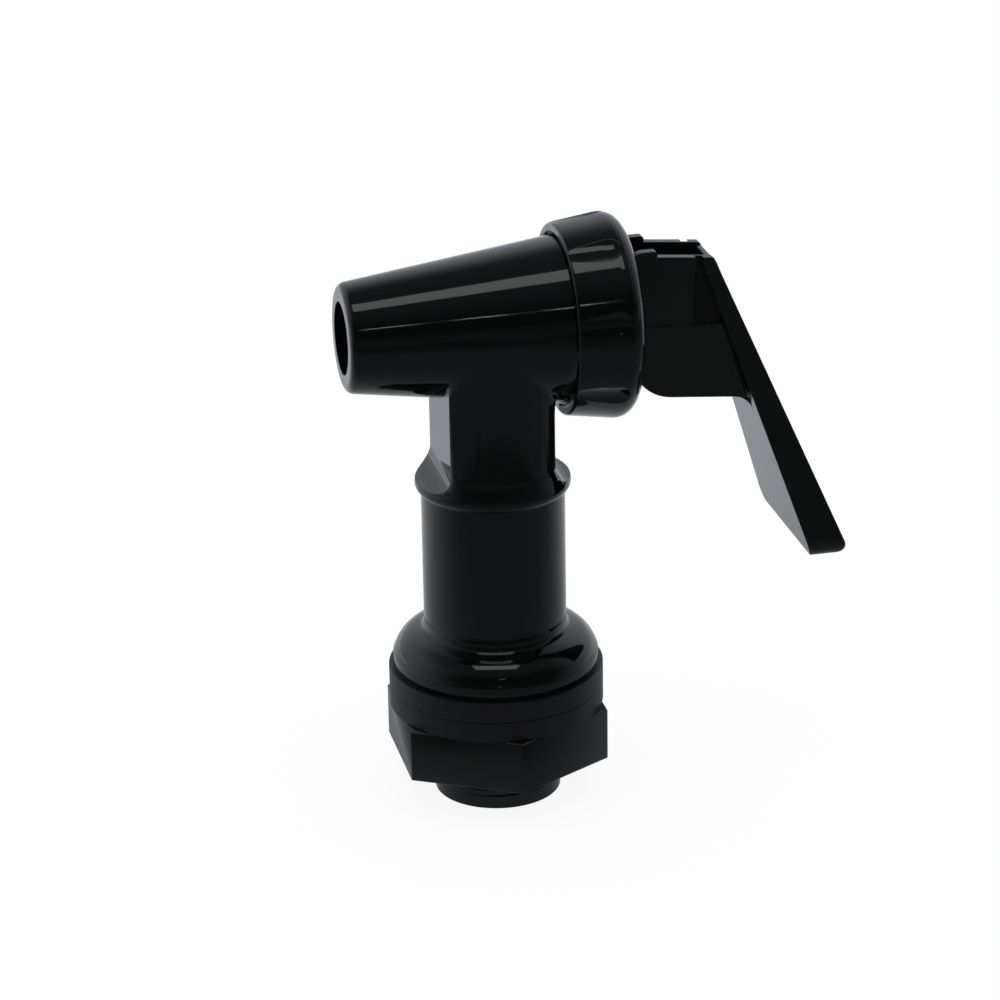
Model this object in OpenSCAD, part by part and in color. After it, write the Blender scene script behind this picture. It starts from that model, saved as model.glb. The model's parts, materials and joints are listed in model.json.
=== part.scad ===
// Self-closing faucet for a beverage dispenser. The shank stands on its threaded end, along Z.
// The spout points to -X, and the bonnet and the lever are at +X.

/* [Shank] */
// Major diameter of the shank thread
thread_d = 19.05; // [17:0.05:20.5]
// Length of thread that stands out under the nut
stub_len = 6; // [3:0.5:12]
// Bore that carries the drink up the shank
inlet_d = 12.4; // [9:0.2:13]
// Diameter of the flange that meets the outer washer
flange_d = 30.9; // [28:0.1:34]
// Height of the flange's upright rim
flange_rim = 2.3; // [1.8:0.1:3]
// Height at which the flange's sloping shoulder meets the tube
flange_h = 6; // [5:0.1:8]
// Radius of the edge between the rim and the shoulder
flange_edge = 1; // [0.5:0.1:1.5]
// Diameter of the plain tube above the flange
tube_d = 21.4; // [20.5:0.1:23]
// Length of the plain tube, from the flange to the bead
tube_len = 23.3; // [17:0.1:33]
// Radius of the bead's section
bead_r = 1.5; // [1:0.1:2]

/* [Neck] */
// Diameter of the neck under the barrel
neck_d = 21.3; // [20:0.1:21.7]
// Distance across the two wrench flats
flats_w = 15.7; // [15:0.1:17.5]
// Height from the bead to the barrel's axis
neck_h = 24; // [22:0.5:32]
// Radius of the blend between the neck and the barrel
neck_blend = 3; // [2:0.25:4]

/* [Barrel] */
// Distance from the shank's axis to the outlet
outlet_reach = 22; // [19:0.5:30]
// Outer diameter of the barrel over the shank's axis
barrel_d = 22.1; // [21.8:0.1:24]
// Growth of the barrel's radius per millimetre toward the bonnet
barrel_taper = 0.138; // [0.09:0.002:0.16]
// Outlet bore
outlet_d = 10.8; // [8:0.2:11]
// Distance from the shank's axis to the valve seat
seat_reach = 8; // [7:0.5:9]
// Diameter of the chamber behind the seat
chamber_d = 15.8; // [15:0.1:16.4]
// Distance from the shank's axis to the barrel's open end
barrel_end = 15.2; // [14:0.1:17]
// Major diameter of the bonnet thread
bonnet_thread_d = 25.2; // [24.8:0.1:25.8]

/* [Bonnet] */
// Outer diameter of the bonnet at its rear rim
bonnet_d = 28.3; // [28:0.1:31]
// Growth of the bonnet's radius per millimetre toward the lever
bonnet_taper = 0.144; // [0.05:0.002:0.17]
// Length of the bonnet
bonnet_len = 10.1; // [9.5:0.1:12]
// Thickness of the bonnet's front wall
bonnet_wall = 2.8; // [2:0.1:3.5]
// Radius of the bonnet's front edge
bonnet_edge = 2.7; // [1.5:0.1:3]
// Number of grip flutes around the bonnet
flute_count = 8; // [4:1:12]
// Depth of a flute at its deepest
flute_depth = 0.75; // [0.3:0.05:1]

/* [Valve] */
// Wall of the silicone seat cup
cup_wall = 1.4; // [1:0.1:1.8]
// Outer diameter of the seat cup's sleeve
cup_d = 13.6; // [13:0.1:14.4]
// Thickness of the rim that the bonnet clamps
cup_rim = 2; // [1.5:0.1:2.5]
// Diameter of the stem
stem_d = 4.4; // [3.6:0.1:4.4]
// Diameter of the ball at the stem's end
ball_d = 5.2; // [4.6:0.1:5.6]
// Mean diameter of the return spring
spring_d = 7.6; // [6.8:0.1:8.2]
// Wire of the return spring
wire_d = 0.8; // [0.6:0.1:1]
// Number of coils in the return spring
coils = 5; // [4:1:7]

/* [Lever] */
// Width over both ears
ears_w = 9.4; // [9.2:0.1:11]
// Thickness of one ear
ear_t = 1.6; // [1.5:0.1:2]
// Height of the ears above the stem's axis, at the bonnet
ear_up = 9.9; // [8:0.1:11]
// Depth of the ears below the stem's axis, at the bonnet
ear_down = 11.6; // [10:0.1:13]
// Radius of the cam corner that rolls on the bonnet
cam_r = 6.5; // [5:0.1:6.8]
// Slope of the ears' upper and lower edges, degrees
ear_slope = 5; // [0:0.5:8]
// Depth of the paddle's lower end below the stem's axis
paddle_drop = 37.1; // [30:0.1:44]
// Lean of the paddle's inner face from the vertical, degrees
paddle_lean = 18.3; // [14:0.1:22]
// Lean of its outer face, degrees
back_lean = 22.7; // [22:0.1:26]
// Width of the paddle at its lower end
paddle_w = 25.8; // [20:0.2:30]
// Thickness of the paddle's plate
plate_t = 2; // [1.5:0.1:2.4]
// Diameter of the two trunnions that carry the lever
trunnion_d = 2.4; // [2:0.1:2.8]

/* [Nut and washers] */
// Distance across the nut's flats
nut_af = 30.3; // [28:0.1:33]
// Height of the nut
nut_h = 8.1; // [6:0.1:10]
// Diameter of the two rubber washers
washer_d = 32.3; // [30:0.1:34]
// Thickness of one washer
washer_h = 3.15; // [2.5:0.05:4]

/* [Hidden] */
fine = 96;
eps = 0.01;
// Radial clearance of threads and sliding fits, and the gap at rest of loose faces
fit = 0.05;
gap = 0.1;
nut_z = stub_len;
inner_z = nut_z + nut_h;
outer_z = inner_z + washer_h;
flange_z = outer_z + washer_h;
flange_root = 2;
relief_w = 1.4;
relief_depth = 0.35;
bead_z = flange_z + flange_h + tube_len;
axis_z = bead_z + neck_h;
rim_x = 9.9;
front_x = rim_x + bonnet_len;
floor_x = front_x - bonnet_wall;
nose_x = -seat_reach;
riser_z = bead_z - 2;
// The bead runs out into the neck along a straight line that touches its round section
bead_flare = 3.2;
bead_x = tube_d / 2 - 0.6;
bead_far = [neck_d / 2 - bead_x, bead_flare];
bead_turn = atan2(bead_far.y, bead_far.x) - acos(bead_r / norm(bead_far));
flat_foot = 3;
flat_start = 0.6;
riser_d = inlet_d - 1.6;
ball_x = nose_x + 3.6;
shoulder_x = ball_x + 4.6;
shoulder_t = 1.6;
pivot_x = front_x + gap + cam_r;
slot_w = ears_w - 2 * ear_t;
hub_w = slot_w - 2 * gap;
hub_r = trunnion_d / 2 + 1.3;
stem_neck_d = ball_d - 2;
socket_depth = 0.9;
mouth_d = bonnet_d - 2.4;
mouth_depth = 0.8;
first_flute = 32.5;
// Lever: heights are over the pivot; the inner face of the paddle passes through face_x at face_z
face_x = 4.1;
face_z = 8.5;
step_z = -1;
web_t = 1.2;
wall_t = 1.6;
washer_edge = 0.15;
// How far the blend sinks into the faces that it joins
sink = 0.03;

// Radius of the barrel and of the bonnet at a place along X
function barrel_r(x) = barrel_d / 2 + barrel_taper * x;
function bonnet_r(x) = bonnet_d / 2 + bonnet_taper * (x - rim_x);

// An outline with its corners rounded: one radius for each point, and 0 keeps a corner sharp
function unit(v) = v / norm(v);
function arc_points(b, u, v, r, n) =
    let (half = acos(u * v) / 2,
         centre = b + unit(u + v) * r / sin(half),
         from = b + u * r / tan(half) - centre,
         to = b + v * r / tan(half) - centre,
         turn = 180 - 2 * half)
    [for (i = [0 : n])
        centre + (sin(turn * (1 - i / n)) * from + sin(turn * i / n) * to) / sin(turn)];
function rounded(points, radii, n = 8) =
    let (last = len(points) - 1)
    [for (i = [0 : last])
        let (a = points[i == 0 ? last : i - 1], b = points[i], c = points[i == last ? 0 : i + 1])
        each radii[i] == 0 ? [b] : arc_points(b, unit(a - b), unit(c - b), radii[i], n)];

// The corner that a fillet of radius r fills, with its right angle at the origin
module corner_2d(r) {
    difference() {
        translate([-eps, -eps]) square(r + eps);
        translate([r, r]) circle(r, $fn = fine);
    }
}

// Turns a profile of (x, radius) about the barrel's axis
module turn_x() {
    translate([0, 0, axis_z]) rotate([0, 90, 0]) rotate([0, 0, 90])
        rotate_extrude($fn = fine) mirror([1, 0]) rotate(90) children();
}

module bore_x(d, x0, x1) {
    translate([x0, 0, axis_z]) rotate([0, 90, 0]) cylinder(d = d, h = x1 - x0, $fn = fine);
}

// Centre of a circle that touches the flange's shoulder from a distance, at a given radius
function shoulder_centre(x, distance) =
    let (run = (flange_d - tube_d) / 2,
         normal = unit([flange_h - flange_rim, run]),
         along = normal * [flange_d / 2, flange_rim] + distance)
    [x, flange_z + (along - normal.x * x) / normal.y];

module shank_profile() {
    r = tube_d / 2;
    edge = shoulder_centre(flange_d / 2 - flange_edge, -flange_edge);
    root = shoulder_centre(r + flange_root, flange_root);
    normal = unit([flange_h - flange_rim, flange_d / 2 - r]);
    difference() {
        square([thread_d / 2, flange_z + 1]);
        translate([thread_d / 2 - relief_depth, nut_z - 0.2]) square([1, relief_w]);
    }
    translate([0, flange_z]) square([flange_d / 2, edge.y - flange_z]);
    translate(edge) circle(flange_edge, $fn = fine);
    polygon([
        [r - 1, edge.y - 0.5],
        [edge.x, edge.y - 0.5],
        edge + flange_edge * normal,
        [r, flange_z + flange_h],
        [r - 1, flange_z + flange_h]
    ]);
    difference() {
        polygon([
            root,
            root - (flange_root + eps) * normal,
            shoulder_centre(r - eps, -eps),
            [r - eps, root.y]
        ]);
        translate(root) circle(flange_root, $fn = fine);
    }
    translate([0, flange_z]) square([r, bead_z - flange_z]);
    translate([bead_x, bead_z]) circle(bead_r, $fn = fine);
    polygon([
        [neck_d / 2 - 1, bead_z],
        [bead_x + bead_r * cos(bead_turn), bead_z + bead_r * sin(bead_turn)],
        [neck_d / 2, bead_z + bead_flare],
        [neck_d / 2 - 1, bead_z + bead_flare]
    ]);
    translate([0, bead_z]) square([neck_d / 2, axis_z - bead_z]);
}

// What one wrench flat takes off, with a round foot above the bead
module flat_cut() {
    translate([flats_w / 2, -neck_d, bead_z + flat_start]) difference() {
        cube([neck_d, 2 * neck_d, neck_h]);
        translate([flat_foot, -1, flat_foot]) rotate([-90, 0, 0]) difference() {
            translate([-2 * flat_foot, 0, 0]) cube([2 * flat_foot, 2 * flat_foot, 2 * neck_d + 2]);
            cylinder(r = flat_foot, h = 2 * neck_d + 2, $fn = fine);
        }
    }
}

// A ball of the blend's radius rolls round the neck and touches the barrel: its centre at an angle
function ball_centre(a) =
    let (reach = neck_d / 2 - sink + neck_blend,
         x = reach * cos(a), y = reach * sin(a),
         far = barrel_r(x) - sink + neck_blend * sqrt(1 + barrel_taper * barrel_taper))
    [x, y, axis_z - sqrt(far * far - y * y)];

// Direction from that centre to the spot where the ball touches the barrel
function touch(c) = unit([barrel_taper, 0, 0] - unit([0, c.y, c.z - axis_z]));

// The ball's arc from the neck to the barrel, closed by one point inside each of them
function blend_section(a, n) =
    let (c = ball_centre(a), u = [-cos(a), -sin(a), 0], v = touch(c), turn = acos(u * v),
         arc = [for (i = [0 : n])
             c + neck_blend * (sin(turn * (1 - i / n)) * u + sin(turn * i / n) * v) / sin(turn)])
    concat([arc[0] + 1.5 * u - [0, 0, 0.5]], arc, [arc[n] + 1.5 * v]);

module neck_fillet() {
    n = 6;
    steps = 48;
    m = n + 3;
    points = [for (k = [0 : steps - 1]) each blend_section(360 * k / steps, n)];
    faces = [for (k = [0 : steps - 1]) for (i = [0 : m - 1])
        let (i2 = (i + 1) % m, k2 = (k + 1) % steps)
        [k * m + i, k * m + i2, k2 * m + i2, k2 * m + i]];
    polyhedron(points, faces);
}

module body() {
    color("#0d0e10") difference() {
        union() {
            difference() {
                union() {
                    rotate_extrude($fn = fine) shank_profile();
                    neck_fillet();
                }
                flat_cut();
                mirror([1, 0, 0]) flat_cut();
            }
            turn_x() polygon(rounded([
                [-outlet_reach, 0],
                [-outlet_reach, barrel_r(-outlet_reach)],
                [rim_x + 0.6, barrel_r(rim_x + 0.6)],
                [rim_x + 0.6, 0]
            ], [0, 1.2, 0, 0]));
            bore_x(bonnet_thread_d, rim_x + 0.6, barrel_end);
        }
        translate([0, 0, -eps]) cylinder(d = inlet_d, h = riser_z, $fn = fine);
        cylinder(d = riser_d, h = axis_z, $fn = fine);
        bore_x(chamber_d, -seat_reach, barrel_end + eps);
        bore_x(outlet_d, -outlet_reach - eps, -seat_reach + eps);
    }
}

module seat_cup() {
    color("#d9d4c6") difference() {
        union() {
            bore_x(cup_d, nose_x, barrel_end + eps);
            bore_x(bonnet_thread_d - 0.2, barrel_end, barrel_end + cup_rim);
        }
        bore_x(cup_d - 2 * cup_wall, ball_x + 2.9, floor_x + eps);
        bore_x(stem_neck_d + 2 * gap, ball_x, ball_x + 3);
        translate([ball_x, 0, axis_z]) sphere(d = ball_d + 2 * gap, $fn = fine);
    }
}

// A round bar across the stem, centred on the lever's pivot
module cross_bar(r, width) {
    translate([pivot_x, -width / 2, axis_z]) rotate([-90, 0, 0])
        cylinder(r = r, h = width, $fn = fine);
}

module stem() {
    color("#e6e2d8") {
        translate([ball_x, 0, axis_z]) sphere(d = ball_d, $fn = fine);
        bore_x(stem_neck_d, ball_x, shoulder_x + eps);
        bore_x(cup_d - 2 * cup_wall - 0.8, shoulder_x, shoulder_x + shoulder_t);
        bore_x(stem_d, shoulder_x, pivot_x);
        cross_bar(hub_r, hub_w);
        cross_bar(trunnion_d / 2, slot_w + 2 * (socket_depth - gap));
    }
}

// One closed helix of wire between the stem's shoulder and the bonnet
module return_spring() {
    start = shoulder_x + shoulder_t + wire_d / 2;
    length = floor_x - start - wire_d / 2;
    ring = 16;
    sides = 8;
    steps = coils * ring;
    points = [for (i = [0 : steps]) let (a = 360 * i / ring)
        for (k = [0 : sides - 1]) let (r = spring_d / 2 + wire_d / 2 * cos(360 * k / sides))
            [start + length * i / steps + wire_d / 2 * sin(360 * k / sides),
             r * cos(a), axis_z + r * sin(a)]];
    walls = [for (i = [0 : steps - 1]) for (k = [0 : sides - 1])
        let (n = (k + 1) % sides, p = i * sides)
        [p + k, p + sides + k, p + sides + n, p + n]];
    ends = [[for (k = [0 : sides - 1]) k], [for (k = [sides - 1 : -1 : 0]) steps * sides + k]];
    color("#b9bdc2") polyhedron(points, concat(walls, ends));
}

// One flute: a tilted cutter that bites deeper toward the lever and stops short of the edge
module flute() {
    cut_r = 5;
    x0 = rim_x + 1.6;
    x1 = front_x - bonnet_edge - 0.6;
    lean = atan(bonnet_taper) - 4.5;
    translate([x1 - cut_r / 3, 0, bonnet_r(x1) + cut_r - flute_depth]) {
        rotate([0, -90 - lean, 0]) cylinder(r = cut_r, h = x1 - x0 + 4, $fn = 48);
        sphere(r = cut_r, $fn = 48);
    }
}

module bonnet_cap() {
    color("#0d0e10") difference() {
        turn_x() polygon(rounded([
            [rim_x, 0],
            [rim_x, bonnet_r(rim_x)],
            [front_x, bonnet_r(front_x)],
            [front_x, 0]
        ], [0, 0.5, bonnet_edge, 0]));
        bore_x(bonnet_thread_d + 2 * fit, rim_x - eps, floor_x);
        bore_x(mouth_d, rim_x - eps, rim_x + mouth_depth);
        bore_x(stem_d + 2 * fit, floor_x - eps, front_x + eps);
        for (i = [0 : flute_count - 1])
            translate([0, 0, axis_z]) rotate([first_flute + i * 360 / flute_count, 0, 0]) flute();
    }
}

// Places along X of the paddle's inner and outer face at a height over the pivot
function inner_x(z) = face_x + (face_z - z) * tan(paddle_lean);
function outer_x(z) = face_x + plate_t + (face_z - z) * tan(back_lean);

// Height of an ear's edge that starts at the bonnet
function edge_z(start, x) = start - tan(ear_slope) * (x + cam_r);

// Outline of one ear, seen from the side, with the pivot at the origin
function ear_outline() =
    let (top_z = edge_z(ear_up, outer_x(face_z)),
         low_x = inner_x(-ear_down - 1.5),
         low_z = edge_z(-ear_down, low_x),
         root_z = low_z - 2.8)
    rounded([
        [-cam_r, ear_up],
        [outer_x(top_z), top_z],
        [outer_x(-ear_down) - 1, -ear_down],
        [inner_x(root_z) + 1, root_z],
        [inner_x(root_z), root_z],
        [low_x, low_z],
        [-cam_r, -ear_down]
    ], [1, 0.5, 0, 0, 0, 3.2, cam_r], 16);

// A flat piece seen from the side, from y0 outward over t
module side_plate(y0, t) {
    translate([0, y0 + t, 0]) rotate([90, 0, 0]) linear_extrude(t) children();
}

// The small round knob that stands on an ear beside the bonnet
module ear_knob() {
    top = ear_up + 0.6;
    side_plate(slot_w / 2, ear_t) polygon(rounded([
        [-cam_r + 0.3, ear_up - 1.5],
        [-cam_r + 3.9, ear_up - 1.5],
        [-cam_r + 3.9, top],
        [-cam_r + 0.3, top - 0.1]
    ], [0, 0, 0.5, 1.4]));
}

// The hollow beside the paddle, whose floor leans inward toward the top
module ear_hollow() {
    translate([0, ears_w / 2 - 0.5, step_z - 0.3]) rotate([4, 0, 0]) side_plate(0, 2)
        polygon([
            [2.9, 0],
            [inner_x(step_z) + 0.2, 0],
            [inner_x(ear_up) + 0.2, ear_up - step_z + 1],
            [3.2, ear_up - step_z + 1]
        ]);
}

// The round inner corner between an ear and the paddle's inner face
module ear_root() {
    low = -ear_down - 1.4;
    multmatrix([
        [1, 0, -tan(paddle_lean), inner_x(0)],
        [0, 1, 0, ears_w / 2],
        [0, 0, 1, 0],
        [0, 0, 0, 1]
    ]) translate([0, 0, low]) linear_extrude(step_z - 0.3 - low) mirror([1, 0]) corner_2d(1.4);
}

module ear() {
    difference() {
        union() {
            side_plate(slot_w / 2, ear_t) polygon(ear_outline());
            ear_knob();
            ear_root();
        }
        // the upper half stands back a little from the lower one
        side_plate(ears_w / 2 - 0.2, 2) translate([-cam_r - 1, step_z])
            square([inner_x(step_z) + cam_r + 1.2, ear_up + 3]);
        ear_hollow();
        translate([0, slot_w / 2 - eps, 0]) rotate([-90, 0, 0])
            cylinder(d = trunnion_d + 2 * fit, h = socket_depth, $fn = fine);
    }
}

// The paddle seen along X, as wide as the ears at the top; inset takes a wall off its edges
module paddle_front(inset) {
    top = ears_w / 2 - inset;
    low = paddle_w / 2 - inset;
    from_z = face_z - 2.2;
    rotate([90, 0, 90]) linear_extrude(outer_x(-paddle_drop) + 1) polygon(rounded([
        [-top, face_z],
        [-top, from_z],
        [-low, inset - paddle_drop],
        [low, inset - paddle_drop],
        [top, from_z],
        [top, face_z]
    ], [0, 0, 2.4, 2.4, 0, 0]));
}

// The paddle seen from the side: a tapered plate with an upright cut at both ends
module paddle_side() {
    side_plate(-paddle_w, 2 * paddle_w) polygon(rounded([
        [inner_x(face_z), face_z],
        [outer_x(face_z), face_z],
        [outer_x(-paddle_drop), -paddle_drop],
        [inner_x(-paddle_drop), -paddle_drop]
    ], [0, 0.5, 1.8, 0.8]));
}

// The paddle is cored from behind: a plate with walls at the sides and the lower end
module paddle() {
    core_z = -8;
    plate_x = plate_t / cos(paddle_lean);
    difference() {
        intersection() {
            paddle_front(0);
            paddle_side();
        }
        intersection() {
            paddle_front(wall_t);
            side_plate(-paddle_w, 2 * paddle_w) polygon([
                [inner_x(core_z) + plate_x, core_z],
                [outer_x(core_z) + 1, core_z],
                [outer_x(-paddle_drop) + 1, -paddle_drop],
                [inner_x(-paddle_drop) + plate_x, -paddle_drop]
            ]);
        }
        // between the ears the plate is a thin web
        side_plate(-slot_w / 2, slot_w) polygon([
            [0, step_z],
            [outer_x(step_z) - web_t - 0.6, step_z],
            [outer_x(face_z) - web_t, face_z + 1],
            [0, face_z + 1]
        ]);
    }
}

module lever_handle() {
    color("#101113") translate([pivot_x, 0, axis_z]) union() {
        ear();
        mirror([0, 1, 0]) ear();
        paddle();
    }
}

module washer(z) {
    color("#15171c") translate([0, 0, z]) rotate_extrude($fn = fine) difference() {
        translate([thread_d / 2 + 0.2, 0]) square([(washer_d - thread_d) / 2 - 0.2, washer_h]);
        translate([washer_d / 2, 0]) rotate(90) corner_2d(washer_edge);
        translate([washer_d / 2, washer_h]) rotate(180) corner_2d(washer_edge);
    }
}

module outer_washer() {
    washer(outer_z);
}

module inner_washer() {
    washer(inner_z);
}

module hex_nut() {
    corner = nut_af / sqrt(3);
    color("#101113") translate([0, 0, nut_z]) difference() {
        rotate([0, 0, 30]) cylinder(r = corner, h = nut_h, $fn = 6);
        translate([0, 0, -eps]) cylinder(d = thread_d + 2 * fit, h = nut_h + 1, $fn = fine);
    }
}

body();
seat_cup();
stem();
return_spring();
bonnet_cap();
lever_handle();
outer_washer();
inner_washer();
hex_nut();
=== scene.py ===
# %% [markdown]
# # A beverage dispenser faucet, dressed for its portrait
#
# The faucet is a black moulding with a lever, a screw bonnet, a nut and two rubber washers.
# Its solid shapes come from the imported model, called the frame. This notebook gives each surface
# the finish of its real material, cuts the threads, and sets up light and camera as in the photograph.

# %% Load the frame
import json
import math

import bmesh
import bpy
from mathutils import Matrix, Vector
from mathutils.bvhtree import BVHTree
from mathutils.interpolate import poly_3d_calc

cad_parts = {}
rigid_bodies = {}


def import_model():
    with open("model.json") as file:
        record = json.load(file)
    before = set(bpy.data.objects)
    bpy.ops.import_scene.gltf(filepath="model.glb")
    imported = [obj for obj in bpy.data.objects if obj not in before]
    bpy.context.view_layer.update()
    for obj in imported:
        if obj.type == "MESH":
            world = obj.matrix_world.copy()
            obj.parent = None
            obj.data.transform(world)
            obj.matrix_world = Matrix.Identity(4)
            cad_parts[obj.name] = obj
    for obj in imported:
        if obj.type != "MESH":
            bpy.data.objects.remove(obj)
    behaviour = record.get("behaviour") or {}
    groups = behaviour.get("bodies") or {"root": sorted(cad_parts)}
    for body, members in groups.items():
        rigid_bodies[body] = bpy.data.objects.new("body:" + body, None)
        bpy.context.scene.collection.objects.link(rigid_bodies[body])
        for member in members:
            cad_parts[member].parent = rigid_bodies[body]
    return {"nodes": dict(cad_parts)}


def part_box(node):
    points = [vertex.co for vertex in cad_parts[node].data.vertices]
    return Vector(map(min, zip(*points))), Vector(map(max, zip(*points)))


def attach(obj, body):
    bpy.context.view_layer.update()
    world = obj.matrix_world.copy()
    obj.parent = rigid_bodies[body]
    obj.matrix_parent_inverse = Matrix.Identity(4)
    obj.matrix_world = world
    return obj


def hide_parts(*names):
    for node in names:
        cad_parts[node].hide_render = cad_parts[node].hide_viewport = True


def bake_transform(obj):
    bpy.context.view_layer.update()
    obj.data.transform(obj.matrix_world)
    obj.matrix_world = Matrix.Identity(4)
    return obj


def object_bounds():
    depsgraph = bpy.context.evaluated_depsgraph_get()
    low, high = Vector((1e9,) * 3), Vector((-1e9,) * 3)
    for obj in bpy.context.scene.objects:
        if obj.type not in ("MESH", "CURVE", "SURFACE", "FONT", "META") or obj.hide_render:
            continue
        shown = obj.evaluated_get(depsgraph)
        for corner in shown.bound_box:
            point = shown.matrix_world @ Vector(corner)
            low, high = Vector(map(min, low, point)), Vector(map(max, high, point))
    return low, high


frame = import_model()
nodes = frame["nodes"]
cad_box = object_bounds()
print("pieces in the frame:", ", ".join(sorted(nodes)))

# %% [markdown]
# ## The camera
#
# A product camera stands about half a metre away, a little to the spout's side and above the faucet.
# The real one was found from the outlines of the round parts, whose ellipses show the height of the eye.
# A long lens keeps the shank nearly parallel, and a turn of one degree follows the hand-held tilt.
# Lengths are in metres, angles in degrees.

# %% Camera
CAMERA_AZIMUTH = -12.65
CAMERA_ELEVATION = 21.95
CAMERA_TILT = -0.993
CAMERA_DISTANCE = 0.5323
CAMERA_TARGET = Vector((0.00106, 0.0, 0.04614))
CAMERA_LENS = 129.17
CAMERA_NEAREST = 0.01


def direction(azimuth, elevation):
    """Unit vector from the object toward a place; azimuth 0 is straight in front."""
    a, e = math.radians(azimuth), math.radians(elevation)
    return Vector((math.sin(a) * math.cos(e), -math.cos(a) * math.cos(e), math.sin(e)))


def aim(thing, place, target, tilt=0.0):
    """Puts a camera or lamp at a place, looking at the target, turned about its own axis."""
    look = (target - place).to_track_quat("-Z", "Y").to_matrix().to_4x4()
    turn = Matrix.Rotation(math.radians(tilt), 4, "Z")
    thing.matrix_world = Matrix.Translation(place) @ look @ turn


scene = bpy.context.scene
camera_data = bpy.data.cameras.new("portrait_camera")
camera_data.lens = CAMERA_LENS
camera_data.clip_start = CAMERA_NEAREST
camera = bpy.data.objects.new("portrait_camera", camera_data)
scene.collection.objects.link(camera)
camera_place = CAMERA_TARGET + direction(CAMERA_AZIMUTH, CAMERA_ELEVATION) * CAMERA_DISTANCE
aim(camera, camera_place, CAMERA_TARGET, CAMERA_TILT)
scene.camera = camera
scene.view_settings.view_transform = "Standard"
print("camera stands at", [round(v, 3) for v in camera_place])

# %% [markdown]
# ## Colour and node helpers
#
# Colours are written as sRGB hex values, the way a designer reads them off a chip, and one function
# turns them into the linear light that a shader works with. One more small function adds a node.

# %% Helpers
def linear(hex_colour):
    """sRGB hex to linear red, green, blue and alpha."""
    parts = [int(hex_colour[i:i + 2], 16) / 255 for i in (1, 3, 5)]
    return [v / 12.92 if v <= 0.04045 else ((v + 0.055) / 1.055) ** 2.4 for v in parts] + [1.0]


def add_node(tree, kind, inputs=None, **settings):
    """Adds a node, sets its options, and fills or links its inputs by name or number."""
    node = tree.nodes.new(kind)
    for name, value in settings.items():
        setattr(node, name, value)
    for name, value in (inputs or {}).items():
        if isinstance(value, bpy.types.NodeSocket):
            tree.links.new(value, node.inputs[name])
        else:
            node.inputs[name].default_value = value
    return node


def blank_tree(owner):
    """Turns an owner's shader nodes on and empties them."""
    owner.use_nodes = True
    owner.node_tree.nodes.clear()
    return owner.node_tree


print("mid grey #808080 is", round(linear("#808080")[0], 3), "in linear light")

# %% [markdown]
# ## Light
#
# Black gloss shows nothing of its own: what the eye reads is the room. The product was shot in a
# light tent that is white behind and at the sides and dark where the camera stands. The world
# gives mirror rays that room, by direction, and gives all other rays one plain level. A band is the
# part of a direction's height or depth, from -1 to 1, over which one tone runs into the next.

# %% World
ROOM_BACK = 0.72
ROOM_FRONT = 0.02
ROOM_TOP = 0.12
HORIZON_FRONT = 0.09
HORIZON_BAND = (0.05, 0.3)
SIDE_BAND = (-0.65, 0.65)
TOP_BAND = (0.5, 0.92)
ROOM_TINT = "#f4f8ff"
PLAIN_LEVEL = 0.75
BACKGROUND_WHITE = 1.0

world = bpy.data.worlds.new("light_tent")
scene.world = world
tree = blank_tree(world)
view = add_node(tree, "ShaderNodeTexCoord")
axes = add_node(tree, "ShaderNodeSeparateXYZ", {0: view.outputs["Generated"]})
front = add_node(tree, "ShaderNodeMapRange", {
    "Value": axes.outputs["Z"], "From Min": HORIZON_BAND[0], "From Max": HORIZON_BAND[1],
    "To Min": HORIZON_FRONT, "To Max": ROOM_FRONT}, interpolation_type="SMOOTHSTEP")
toward_back = add_node(tree, "ShaderNodeMapRange", {
    "Value": axes.outputs["Y"], "From Min": SIDE_BAND[0], "From Max": SIDE_BAND[1],
    "To Min": front.outputs["Result"], "To Max": ROOM_BACK}, interpolation_type="SMOOTHSTEP")
above = add_node(tree, "ShaderNodeMapRange", {
    "Value": axes.outputs["Z"], "From Min": TOP_BAND[0], "From Max": TOP_BAND[1]},
    interpolation_type="SMOOTHSTEP")
room = add_node(tree, "ShaderNodeMix", {
    "Factor": above.outputs["Result"], "A": toward_back.outputs["Result"], "B": ROOM_TOP})
rays = add_node(tree, "ShaderNodeLightPath")
mirror_or_plain = add_node(tree, "ShaderNodeMix", {
    "Factor": rays.outputs["Is Glossy Ray"], "A": PLAIN_LEVEL, "B": room.outputs["Result"]})
level = add_node(tree, "ShaderNodeMix", {
    "Factor": rays.outputs["Is Camera Ray"], "A": mirror_or_plain.outputs["Result"],
    "B": BACKGROUND_WHITE})
tint = add_node(tree, "ShaderNodeMix", {
    "Factor": rays.outputs["Is Glossy Ray"], 6: linear("#ffffff"), 7: linear(ROOM_TINT)},
    data_type="RGBA")
sky = add_node(tree, "ShaderNodeBackground", {
    "Color": tint.outputs[2], "Strength": level.outputs["Result"]})
add_node(tree, "ShaderNodeOutputWorld", {"Surface": sky.outputs["Background"]})
print("world: back", ROOM_BACK, "front", ROOM_FRONT, "plain level", PLAIN_LEVEL)

# %% [markdown]
# Two kinds of lamp write the streaks on the barrel. A long softbox hangs nearly overhead, toward the
# camera, and a row of three small lights stands lower in front of the faucet, which shows as a thin
# broken line. A lamp's radiance is its power over pi times its area, so each is given by the radiance
# that it shows. For a light of the row, its place to the right and its length are given, in metres.

# %% Lamps
LAMP_TARGET = Vector((0.0, 0.0, 0.07))
LAMP_DISTANCE = 0.6
SOFTBOX_ELEVATION = 79
SOFTBOX_SIZE = (0.36, 0.17)
SOFTBOX_RADIANCE = 1.62
ROW_ELEVATION = 32
ROW_LIGHTS = ((0.040, 0.015), (0.069, 0.012), (0.093, 0.00825))
ROW_HEIGHT = 0.01
ROW_RADIANCE = 6.0


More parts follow.
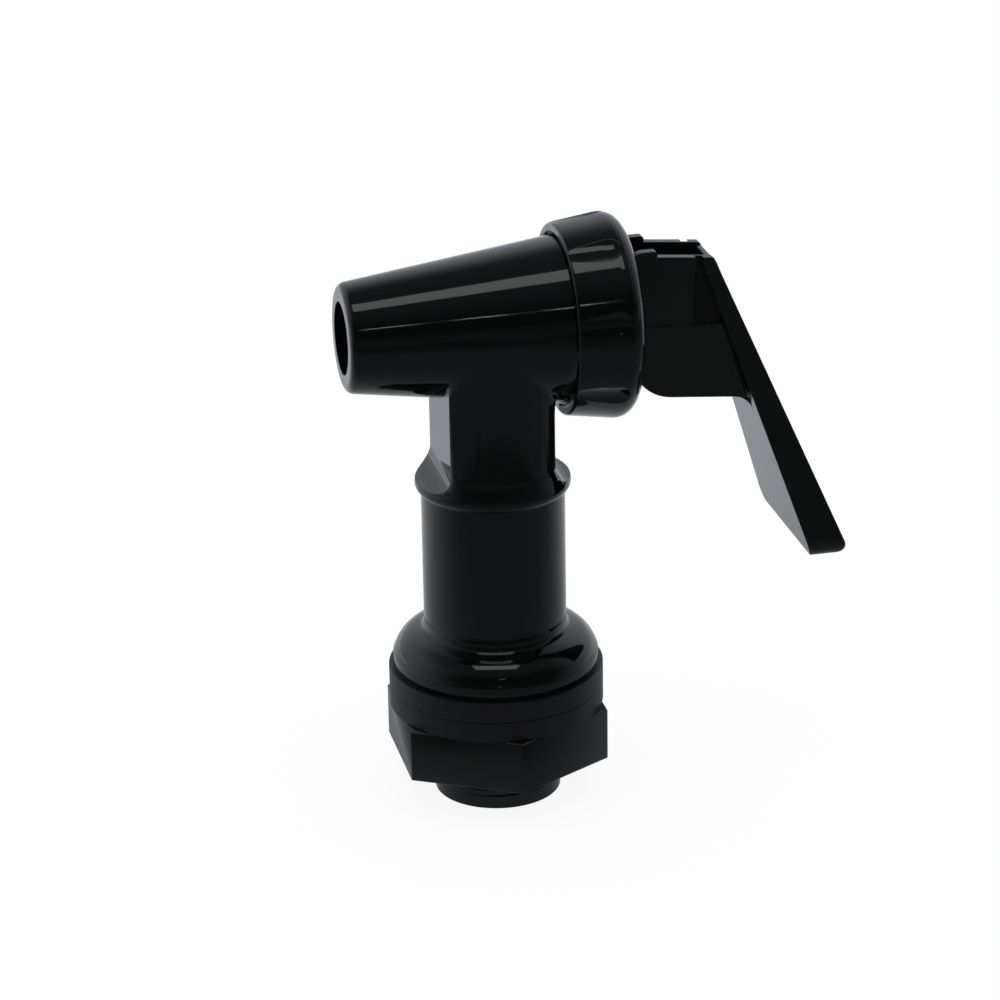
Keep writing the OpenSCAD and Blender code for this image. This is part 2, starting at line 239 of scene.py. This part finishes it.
def area_lamp(name, elevation, width, height, radiance):
    """A rectangular lamp on the camera's side that shows a given radiance in a mirror."""
    data = bpy.data.lights.new(name, "AREA")
    data.shape = "RECTANGLE"
    data.size = width
    data.size_y = height
    data.energy = radiance * math.pi * width * height
    lamp = bpy.data.objects.new(name, data)
    scene.collection.objects.link(lamp)
    aim(lamp, LAMP_TARGET + direction(CAMERA_AZIMUTH, elevation) * LAMP_DISTANCE, LAMP_TARGET)
    return lamp


area_lamp("overhead_softbox", SOFTBOX_ELEVATION, *SOFTBOX_SIZE, SOFTBOX_RADIANCE)
for number, (side, length) in enumerate(ROW_LIGHTS):
    row_light = area_lamp("row_light_%d" % number, ROW_ELEVATION, length, ROW_HEIGHT, ROW_RADIANCE)
    row_light.location.x += side

# %% [markdown]
# The faucet stands on a plain pale floor, which the camera sees white. Mirror rays see painted light and
# shade on it, an emission that is bright behind the faucet, where the tent's light would fall, and dim on
# the camera's side. Each band is a stretch of the floor's depth in metres, over which the painted tone
# changes.

# %% Floor
FLOOR_SIZE = 3.0
FLOOR_GAP = 0.00005
PAINTED_SHADE_NEAR = 0.14
PAINTED_LIGHT_FAR = 0.76
PAINTED_SHADE_EDGE = 0.05
PAINTED_GLOW_BACK = 0.35
TURN_BAND = (-0.07, 0.12)
EDGE_BAND = (-0.34, -0.2)
HORIZON_STRETCH = (0.15, 0.6)
FLOOR_WHITE = 1.05
WHITE_SHARE = 0.85

floor_mesh = bpy.data.meshes.new("floor")
half = FLOOR_SIZE / 2
floor_corners = [(-half, -half, 0), (half, -half, 0), (half, half, 0), (-half, half, 0)]
floor_mesh.from_pydata(floor_corners, [], [(0, 1, 2, 3)])
floor = bpy.data.objects.new("floor", floor_mesh)
scene.collection.objects.link(floor)
floor.location.z = cad_box[0][2] - FLOOR_GAP

floor_material_with_painted_light = bpy.data.materials.new("pale_floor_with_painted_light")
tree = blank_tree(floor_material_with_painted_light)
rays = add_node(tree, "ShaderNodeLightPath")
spot = add_node(tree, "ShaderNodeTexCoord")
depth = add_node(tree, "ShaderNodeSeparateXYZ", {0: spot.outputs["Object"]})
# Painted light and shade: for mirror rays the floor is brighter toward the back and dimmer toward the
# camera.
tone = add_node(tree, "ShaderNodeMapRange", {
    "Value": depth.outputs["Y"], "From Min": TURN_BAND[0], "From Max": TURN_BAND[1],
    "To Min": PAINTED_SHADE_NEAR, "To Max": PAINTED_LIGHT_FAR}, interpolation_type="SMOOTHSTEP")
painted_shade_fade = add_node(tree, "ShaderNodeMapRange", {
    "Value": depth.outputs["Y"], "From Min": EDGE_BAND[0], "From Max": EDGE_BAND[1],
    "To Min": PAINTED_SHADE_EDGE / PAINTED_SHADE_NEAR, "To Max": 1.0})
painted_back_glow = add_node(tree, "ShaderNodeMapRange", {
    "Value": depth.outputs["Y"], "From Min": HORIZON_STRETCH[0], "From Max": HORIZON_STRETCH[1],
    "To Min": 0.0, "To Max": PAINTED_GLOW_BACK})
painted_shaded_tone = add_node(tree, "ShaderNodeMath", {
    0: tone.outputs["Result"], 1: painted_shade_fade.outputs["Result"]}, operation="MULTIPLY")
painted_floor_light = add_node(tree, "ShaderNodeMath", {
    0: painted_shaded_tone.outputs[0], 1: painted_back_glow.outputs["Result"]}, operation="ADD")
matte = add_node(tree, "ShaderNodeBsdfDiffuse", {"Color": linear("#fafafa")})
white = add_node(tree, "ShaderNodeEmission", {"Color": linear("#ffffff"), "Strength": FLOOR_WHITE})
# The painted reflection: mirror rays see this emission in place of the lit floor.
painted_floor_reflection = add_node(tree, "ShaderNodeEmission", {
    "Color": linear(ROOM_TINT), "Strength": painted_floor_light.outputs[0]})
share = add_node(tree, "ShaderNodeMath", {
    0: rays.outputs["Is Camera Ray"], 1: WHITE_SHARE}, operation="MULTIPLY")
seen = add_node(tree, "ShaderNodeMixShader", {
    0: share.outputs[0], 1: matte.outputs[0], 2: white.outputs[0]})
paint = add_node(tree, "ShaderNodeMixShader", {
    0: rays.outputs["Is Glossy Ray"], 1: seen.outputs[0], 2: painted_floor_reflection.outputs[0]})
add_node(tree, "ShaderNodeOutputMaterial", {"Surface": paint.outputs[0]})
floor_mesh.materials.append(floor_material_with_painted_light)
print("floor lies at z =", round(floor.location.z * 1000, 2), "mm")

# %% [markdown]
# ## Materials
#
# Each finish is built from the real material and from how its surface was made. The sizes of the
# patterns are written in millimetres and turned into texture scales by one function. A moulded skin
# has four layers: soft edges, slow waves from shrinkage, fine grain, and a gloss that is a little uneven.

# %% Material helper
MM = 0.001
BEVEL_SAMPLES = 6
EDGE_MM = 0.2
WAVE_DETAIL = 1.0
GRAIN_DETAIL = 3.0


def per_metre(size_mm):
    """Texture scale at which one feature of a noise is about this many millimetres wide."""
    return 1.0 / (size_mm * MM)


def moulded(name, colour, ior, roughness, spread, waves_mm, wave_depth_mm, grain_mm, grain_depth_mm):
    """A moulded or pressed surface; its roughness varies by the spread to both sides."""
    material = bpy.data.materials.new(name)
    tree = blank_tree(material)
    place = add_node(tree, "ShaderNodeTexCoord").outputs["Object"]
    waves = add_node(tree, "ShaderNodeTexNoise", {
        "Vector": place, "Scale": per_metre(waves_mm), "Detail": WAVE_DETAIL})
    grain = add_node(tree, "ShaderNodeTexNoise", {
        "Vector": place, "Scale": per_metre(grain_mm), "Detail": GRAIN_DETAIL})
    gloss = add_node(tree, "ShaderNodeMapRange", {
        "Value": grain.outputs["Fac"], "To Min": roughness - spread, "To Max": roughness + spread})
    soft = add_node(tree, "ShaderNodeBevel", {"Radius": EDGE_MM * MM}, samples=BEVEL_SAMPLES)
    slow = add_node(tree, "ShaderNodeBump", {
        "Height": waves.outputs["Fac"], "Distance": wave_depth_mm * MM, "Strength": 1.0,
        "Normal": soft.outputs["Normal"]})
    fine = add_node(tree, "ShaderNodeBump", {
        "Height": grain.outputs["Fac"], "Distance": grain_depth_mm * MM, "Strength": 1.0,
        "Normal": slow.outputs["Normal"]})
    skin = add_node(tree, "ShaderNodeBsdfPrincipled", {
        "Base Color": linear(colour), "IOR": ior, "Roughness": gloss.outputs["Result"],
        "Normal": fine.outputs["Normal"]})
    add_node(tree, "ShaderNodeOutputMaterial", {"Surface": skin.outputs[0]})
    print("finish:", name)
    return material


# %% [markdown]
# The body and the bonnet are black polypropylene from a polished mould. It mirrors the room sharply,
# with the faint waves that a thick wall gets as it shrinks.

# %% Polished black polypropylene
polished_plastic = moulded(
    "polished_black_polypropylene", "#060707", ior=1.5, roughness=0.055, spread=0.02,
    waves_mm=7.0, wave_depth_mm=0.008, grain_mm=0.6, grain_depth_mm=0.0005)

# %% [markdown]
# The lever and the nut come from moulds with a finer, duller finish, so their faces blur the room.

# %% Satin black polypropylene
satin_plastic = moulded(
    "satin_black_polypropylene", "#080909", ior=1.5, roughness=0.2, spread=0.03,
    waves_mm=5.0, wave_depth_mm=0.008, grain_mm=0.35, grain_depth_mm=0.0015)
nut_plastic = moulded(
    "satin_black_nut_polypropylene", "#070808", ior=1.47, roughness=0.2, spread=0.03,
    waves_mm=5.0, wave_depth_mm=0.01, grain_mm=0.4, grain_depth_mm=0.0015)

# %% [markdown]
# The washers are cut from pressed sheet rubber: matte, a little blue, with a fine pebbled skin.

# %% Rubber
washer_rubber = moulded(
    "pressed_black_rubber", "#090a0f", ior=1.45, roughness=0.45, spread=0.08,
    waves_mm=3.0, wave_depth_mm=0.02, grain_mm=0.25, grain_depth_mm=0.02)

# %% [markdown]
# Inside are a milky silicone cup, a natural acetal stem and a drawn steel spring. The wire shows the
# fine marks of drawing as an uneven polish.

# %% Inner materials
DRAW_MARKS_MM = 0.3
DRAW_DETAIL = 2.0
WIRE_ROUGHNESS = (0.2, 0.4)

silicone = moulded(
    "cured_silicone", "#d9d5c9", ior=1.41, roughness=0.45, spread=0.05,
    waves_mm=4.0, wave_depth_mm=0.01, grain_mm=0.3, grain_depth_mm=0.003)
acetal = moulded(
    "natural_acetal", "#e4e0d4", ior=1.48, roughness=0.32, spread=0.03,
    waves_mm=4.0, wave_depth_mm=0.01, grain_mm=0.3, grain_depth_mm=0.002)

spring_steel = bpy.data.materials.new("drawn_spring_steel")
tree = blank_tree(spring_steel)
place = add_node(tree, "ShaderNodeTexCoord").outputs["Object"]
draw_marks = add_node(tree, "ShaderNodeTexNoise", {
    "Vector": place, "Scale": per_metre(DRAW_MARKS_MM), "Detail": DRAW_DETAIL})
polish = add_node(tree, "ShaderNodeMapRange", {
    "Value": draw_marks.outputs["Fac"], "To Min": WIRE_ROUGHNESS[0], "To Max": WIRE_ROUGHNESS[1]})
metal = add_node(tree, "ShaderNodeBsdfPrincipled", {
    "Base Color": linear("#b4b7ba"), "Metallic": 1.0, "Roughness": polish.outputs["Result"]})
add_node(tree, "ShaderNodeOutputMaterial", {"Surface": metal.outputs[0]})

finishes = {"body": polished_plastic, "bonnet_cap": polished_plastic, "lever_handle": satin_plastic,
            "hex_nut": nut_plastic, "outer_washer": washer_rubber, "inner_washer": washer_rubber,
            "seat_cup": silicone, "stem": acetal, "return_spring": spring_steel}
for name, finish in finishes.items():
    nodes[name].data.materials.clear()
    nodes[name].data.materials.append(finish)
print("finished:", len(finishes), "pieces")

# %% [markdown]
# ## Copies to work on
#
# A piece of the frame is never changed itself. The body's crown and threads, the nut's edges and the
# smooth shading of the soft parts are made on copies. The doubled corners of a copy are joined first, so
# that its shape is closed.

# %% Merged copies
DOUBLED = 0.0001 * MM


def merged_copy(name):
    """A closed copy of a node, with its finish."""
    shape = bmesh.new()
    shape.from_mesh(nodes[name].data)
    bmesh.ops.remove_doubles(shape, verts=shape.verts, dist=DOUBLED)
    mesh = bpy.data.meshes.new(name + "_dressed")
    shape.to_mesh(mesh)
    shape.free()
    mesh.materials.append(finishes[name])
    copy = bpy.data.objects.new(mesh.name, mesh)
    scene.collection.objects.link(copy)
    return copy


def bake_modifiers(piece):
    """Makes what the modifiers show the piece's own mesh, and drops them."""
    shown = piece.evaluated_get(bpy.context.evaluated_depsgraph_get())
    mesh = bpy.data.meshes.new_from_object(shown)
    piece.modifiers.clear()
    piece.data = mesh
    return mesh


body_copy = merged_copy("body")
print("body:", len(body_copy.data.polygons), "faces before its threads are cut")

# %% [markdown]
# The flange's shoulder is crowned on the real moulding: one wide round from the rim to near the tube,
# and a small hollow one up to the tube. The frame has a straight shoulder there, so a turned ring adds
# the crown to the copy. The ring stands a hair outside the frame's surface, where their faces would
# otherwise fall together, and laps a little way into the body.

# %% Crown of the flange
HAIR = 0.01 * MM
RIM_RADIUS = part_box("body")[1].y + HAIR
TUBE_RADIUS = 10.7 * MM + HAIR
CROWN_START = 21.4 * MM
CROWN_ROUND = 4.7 * MM
CROWN_END = 70
ROOT_ROUND = 1.2 * MM
RIM_LAP = 0.7 * MM
ROOT_LAP = 1.0 * MM
ARC_STEPS = 14
RING_SIDES = 144


def arc(centre, radius, start, end):
    """Points on an arc in the plane of radius and height, between two angles in degrees."""
    turns = [math.radians(start + (end - start) * i / ARC_STEPS) for i in range(ARC_STEPS + 1)]
    return [(centre[0] + radius * math.cos(t), centre[1] + radius * math.sin(t)) for t in turns]


def crown_profile():
    """Outline of the ring, from the rim over the crown to the tube and back inside the body."""
    steep = math.radians(CROWN_END)
    centre = (RIM_RADIUS - CROWN_ROUND, CROWN_START)
    meet = (centre[0] + CROWN_ROUND * math.cos(steep), centre[1] + CROWN_ROUND * math.sin(steep))
    reach = meet[0] - TUBE_RADIUS - ROOT_ROUND * (1 - math.cos(steep))
    rise = reach / math.tan(steep) + ROOT_ROUND * math.sin(steep)
    root = (TUBE_RADIUS + ROOT_ROUND, meet[1] + rise)
    outside = arc(centre, CROWN_ROUND, 0, CROWN_END) + arc(root, ROOT_ROUND, CROWN_END - 180, -180)
    start, end = CROWN_START - RIM_LAP, root[1] + ROOT_LAP
    inner_radius = TUBE_RADIUS - ROOT_LAP
    inside = [(TUBE_RADIUS, end), (inner_radius, end), (inner_radius, start), (RIM_RADIUS, start)]
    return outside + inside


def turned_ring(name, outline):
    """A closed ring made by turning an outline round the shank's axis."""
    count = len(outline)
    turns = [2 * math.pi * k / RING_SIDES for k in range(RING_SIDES)]
    corners = [(r * math.cos(a), r * math.sin(a), z) for a in turns for r, z in outline]
    faces = []
    for k in range(RING_SIDES):
        here, after = k * count, (k + 1) % RING_SIDES * count
        for i in range(count):
            n = (i + 1) % count
            faces.append((here + i, after + i, after + n, here + n))
    mesh = bpy.data.meshes.new(name)
    mesh.from_pydata(corners, [], faces)
    mesh.update()
    return mesh


crown = bpy.data.objects.new("flange_crown", turned_ring("flange_crown", crown_profile()))
scene.collection.objects.link(crown)
joined = body_copy.modifiers.new("crown", "BOOLEAN")
joined.operation = "UNION"
joined.solver = "MANIFOLD"
joined.object = crown
bake_modifiers(body_copy)
bpy.data.objects.remove(crown)
print("body:", len(body_copy.data.polygons), "faces with the crown")

# %% [markdown]
# ## Threads
#
# A thread follows a spiral, so Geometry Nodes cut it. The cutter is a kite swept along the spiral: its
# corner that points at the axis makes the V of the groove. It grows over the first part of a turn, so
# the thread starts the way a cut thread does.

# %% Thread cutter
SPIRAL_STEPS = 72
FLANK_SHARE = 0.44
FIRST_SCALE = 0.05


def thread_group():
    """A node group that cuts one right-handed V thread from the geometry that it is given."""
    group = bpy.data.node_groups.new("cut_thread", "GeometryNodeTree")
    group.interface.new_socket("Body", in_out="INPUT", socket_type="NodeSocketGeometry")
    for name in ("Radius", "Pitch", "Turns", "Depth", "Run In"):
        group.interface.new_socket(name, in_out="INPUT", socket_type="NodeSocketFloat")
    group.interface.new_socket("Place", in_out="INPUT", socket_type="NodeSocketVector")
    group.interface.new_socket("Turn", in_out="INPUT", socket_type="NodeSocketRotation")
    group.interface.new_socket("Finish", in_out="INPUT", socket_type="NodeSocketMaterial")
    group.interface.new_socket("Threaded", in_out="OUTPUT", socket_type="NodeSocketGeometry")
    given = add_node(group, "NodeGroupInput").outputs
    height = add_node(group, "ShaderNodeMath", {0: given["Pitch"], 1: given["Turns"]}, operation="MULTIPLY")
    spiral = add_node(group, "GeometryNodeCurveSpiral", {
        "Resolution": SPIRAL_STEPS, "Rotations": given["Turns"], "Start Radius": given["Radius"],
        "End Radius": given["Radius"], "Height": height.outputs[0], "Reverse": True})
    upright = add_node(group, "GeometryNodeSetCurveNormal", {"Curve": spiral.outputs[0]}, mode="Z_UP")
    across = add_node(group, "ShaderNodeMath", {0: given["Depth"], 1: 2.0}, operation="MULTIPLY")
    flank = add_node(group, "ShaderNodeMath", {0: given["Pitch"], 1: FLANK_SHARE}, operation="MULTIPLY")
    kite = add_node(group, "GeometryNodeCurvePrimitiveQuadrilateral", {
        "Width": across.outputs[0], "Bottom Height": flank.outputs[0],
        "Top Height": flank.outputs[0]}, mode="KITE")
    along = add_node(group, "GeometryNodeSplineParameter")
    turned = add_node(group, "ShaderNodeMath", {
        0: along.outputs["Factor"], 1: given["Turns"]}, operation="MULTIPLY")
    growth = add_node(group, "ShaderNodeMapRange", {
        "Value": turned.outputs[0], "From Max": given["Run In"], "To Min": FIRST_SCALE, "To Max": 1.0})
    cutter = add_node(group, "GeometryNodeCurveToMesh", {
        "Curve": upright.outputs[0], "Profile Curve": kite.outputs[0],
        "Scale": growth.outputs["Result"], "Fill Caps": True})
    placed = add_node(group, "GeometryNodeTransform", {
        "Geometry": cutter.outputs[0], "Translation": given["Place"], "Rotation": given["Turn"]})
    cut = add_node(group, "GeometryNodeMeshBoolean", {
        "Mesh 1": given["Body"], "Mesh 2": placed.outputs[0]}, operation="DIFFERENCE", solver="MANIFOLD")
    real = add_node(group, "GeometryNodeRealizeInstances", {"Geometry": cut.outputs["Mesh"]})
    painted = add_node(group, "GeometryNodeSetMaterial", {
        "Geometry": real.outputs[0], "Material": given["Finish"]})
    add_node(group, "NodeGroupOutput", {"Threaded": painted.outputs[0]})
    return group


cutter_group = thread_group()
print("thread cutter:", len(cutter_group.nodes), "nodes")

# %% [markdown]
# The shank has sixteen turns to the inch, under the nut and up to the flange. A coarser thread inside
# the bonnet runs round the barrel's end. The barrel's axis lies where the round cup's middle is.

# %% Shank and bonnet threads
INCH = 25.4 * MM
SHANK_RADIUS = 0.75 * INCH / 2
SHANK_PITCH = INCH / 16
SHANK_DEPTH = 0.9 * MM
SHANK_THREAD = (1.9 * MM, 19.5 * MM)
SHANK_TURN = -150
BARREL_RADIUS = 12.6 * MM
BONNET_PITCH = 2.0 * MM
BONNET_DEPTH = 1.0 * MM
BONNET_THREAD = (10.9 * MM, 14.6 * MM)
RUN_IN = 0.6
AXIS_Z = sum(corner.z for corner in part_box("seat_cup")) / 2


def cut_thread(piece, radius, pitch, depth, length, place, turn):
    """Adds the cutter to a piece and sets its inputs by socket identifier; turn is in degrees."""
    values = {"Radius": radius, "Pitch": pitch, "Turns": length / pitch, "Depth": depth,
              "Run In": RUN_IN, "Place": place, "Turn": [math.radians(t) for t in turn],
              "Finish": polished_plastic}
    modifier = piece.modifiers.new("thread", "NODES")
    modifier.node_group = cutter_group
    for item in cutter_group.interface.items_tree:
        if item.item_type == "SOCKET" and item.in_out == "INPUT" and item.name in values:
            modifier[item.identifier] = values[item.name]


cut_thread(body_copy, SHANK_RADIUS, SHANK_PITCH, SHANK_DEPTH, SHANK_THREAD[1] - SHANK_THREAD[0],
           place=(0.0, 0.0, SHANK_THREAD[0]), turn=(0.0, 0.0, SHANK_TURN))
cut_thread(body_copy, BARREL_RADIUS, BONNET_PITCH, BONNET_DEPTH, BONNET_THREAD[1] - BONNET_THREAD[0],
           place=(BONNET_THREAD[0], 0.0, AXIS_Z), turn=(0.0, 90.0, 0.0))
body_mesh = bake_modifiers(body_copy)
print("body:", len(body_mesh.polygons), "faces with both threads; barrel's axis at",
      round(AXIS_Z / MM, 3), "mm")

# %% [markdown]
# Cutting breaks the large faces up, so the shine has to be set again. Faces that still lie on the
# frame's surface take its exact directions. Where the frame itself is faceted, in the blend under the
# barrel and where the bead runs into the neck, the faces round into each other. The neck's two flats,
# and faces that turn neither to the front nor to the back, are no part of that blend.

# %% Shine of the cut body
SHARP_ANGLE = 30
ROUNDED_ZONES = ((50.6 * MM, 56.0 * MM), (57.0 * MM, 72.6 * MM))
BLEND_REACH = 13 * MM
FLAT_FACING = 0.995
SIDEWAYS_FACING = 0.02
CORNER_PULL = 0.02
TOUCHING = 0.01 * MM
SAME_FACING = 0.98


def surface_direction(source, hit, index):
    """The frame's own smooth direction at a spot on one of its faces."""
    polygon = source.polygons[index]
    shares = poly_3d_calc([source.vertices[v].co for v in polygon.vertices], hit)
    total = Vector()
    for share, corner in zip(shares, polygon.loop_indices):
        total += source.corner_normals[corner].vector * share
    return total.normalized()


def in_blend(polygon):
    """Whether a face belongs to the faceted blends between bead, neck and barrel."""
    if abs(polygon.normal.x) >= FLAT_FACING or abs(polygon.normal.y) <= SIDEWAYS_FACING:
        return False
    if abs(polygon.center.x) >= BLEND_REACH:
        return False
    return any(low < polygon.center.z < high for low, high in ROUNDED_ZONES)


def restore_shine(mesh, source):
    """Sets the corner directions of a cut mesh from the frame's surface where it still has it."""
    for polygon in mesh.polygons:
        polygon.use_smooth = True
    mesh.set_sharp_from_angle(angle=math.radians(SHARP_ANGLE))
    surface = BVHTree.FromPolygons([v.co for v in source.vertices],
                                   [p.vertices for p in source.polygons])
    directions = [c.vector.copy() for c in mesh.corner_normals]
    kept = 0
    for polygon in mesh.polygons:
        if in_blend(polygon):
            continue
        for corner in polygon.loop_indices:
            vertex = mesh.vertices[mesh.loops[corner].vertex_index]
            spot = vertex.co.lerp(polygon.center, CORNER_PULL)
            hit, normal, index, distance = surface.find_nearest(spot)
            if distance < TOUCHING and normal.dot(polygon.normal) > SAME_FACING:
                directions[corner] = surface_direction(source, hit, index)
                kept += 1
    mesh.normals_split_custom_set(directions)
    return kept


print("corners with the frame's shine:", restore_shine(body_mesh, nodes["body"].data))
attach(body_copy, "faucet_body")
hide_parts("body")

# %% [markdown]
# ## The nut's edges
#
# A moulded nut has small round edges that catch the light. A copy of it gets them as real bevels. The
# triangles of each flat face are joined first, so that only true edges are rounded.

# %% Nut
NUT_EDGE = 0.25 * MM
NUT_EDGE_STEPS = 3
FLAT_ANGLE = 1
EDGE_ANGLE = 30

nut_copy = merged_copy("hex_nut")
flat = bmesh.new()
flat.from_mesh(nut_copy.data)
bmesh.ops.dissolve_limit(flat, angle_limit=math.radians(FLAT_ANGLE), verts=flat.verts, edges=flat.edges)
flat.to_mesh(nut_copy.data)
flat.free()
rounded_edges = nut_copy.modifiers.new("edges", "BEVEL")
rounded_edges.width = NUT_EDGE
rounded_edges.segments = NUT_EDGE_STEPS
rounded_edges.limit_method = "ANGLE"
rounded_edges.angle_limit = math.radians(EDGE_ANGLE)
rounded_edges.harden_normals = True
nut_mesh = bake_modifiers(nut_copy)
for polygon in nut_mesh.polygons:
    polygon.use_smooth = True
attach(nut_copy, "nut")
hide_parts("hex_nut")
print("nut:", len(nut_mesh.polygons), "faces")

# %% [markdown]
# ## The soft parts
#
# When the lever lifts the stem, the cup's nose goes with the stem's ball and the spring shortens, while
# the cup's rim and the spring's far end stay in the bonnet. Here both get closed, smooth-shaded copies in
# place of the frame's pieces.

# %% Soft parts
SOFT_EDGE_ANGLE = 40


def soft_copy(name):
    """A closed, smooth-shaded copy of a node, which takes the place of the hidden node."""
    copy = merged_copy(name)
    for polygon in copy.data.polygons:
        polygon.use_smooth = True
    copy.data.set_sharp_from_angle(angle=math.radians(SOFT_EDGE_ANGLE))
    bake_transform(copy)
    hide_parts(name)


soft_copy("seat_cup")
soft_copy("return_spring")
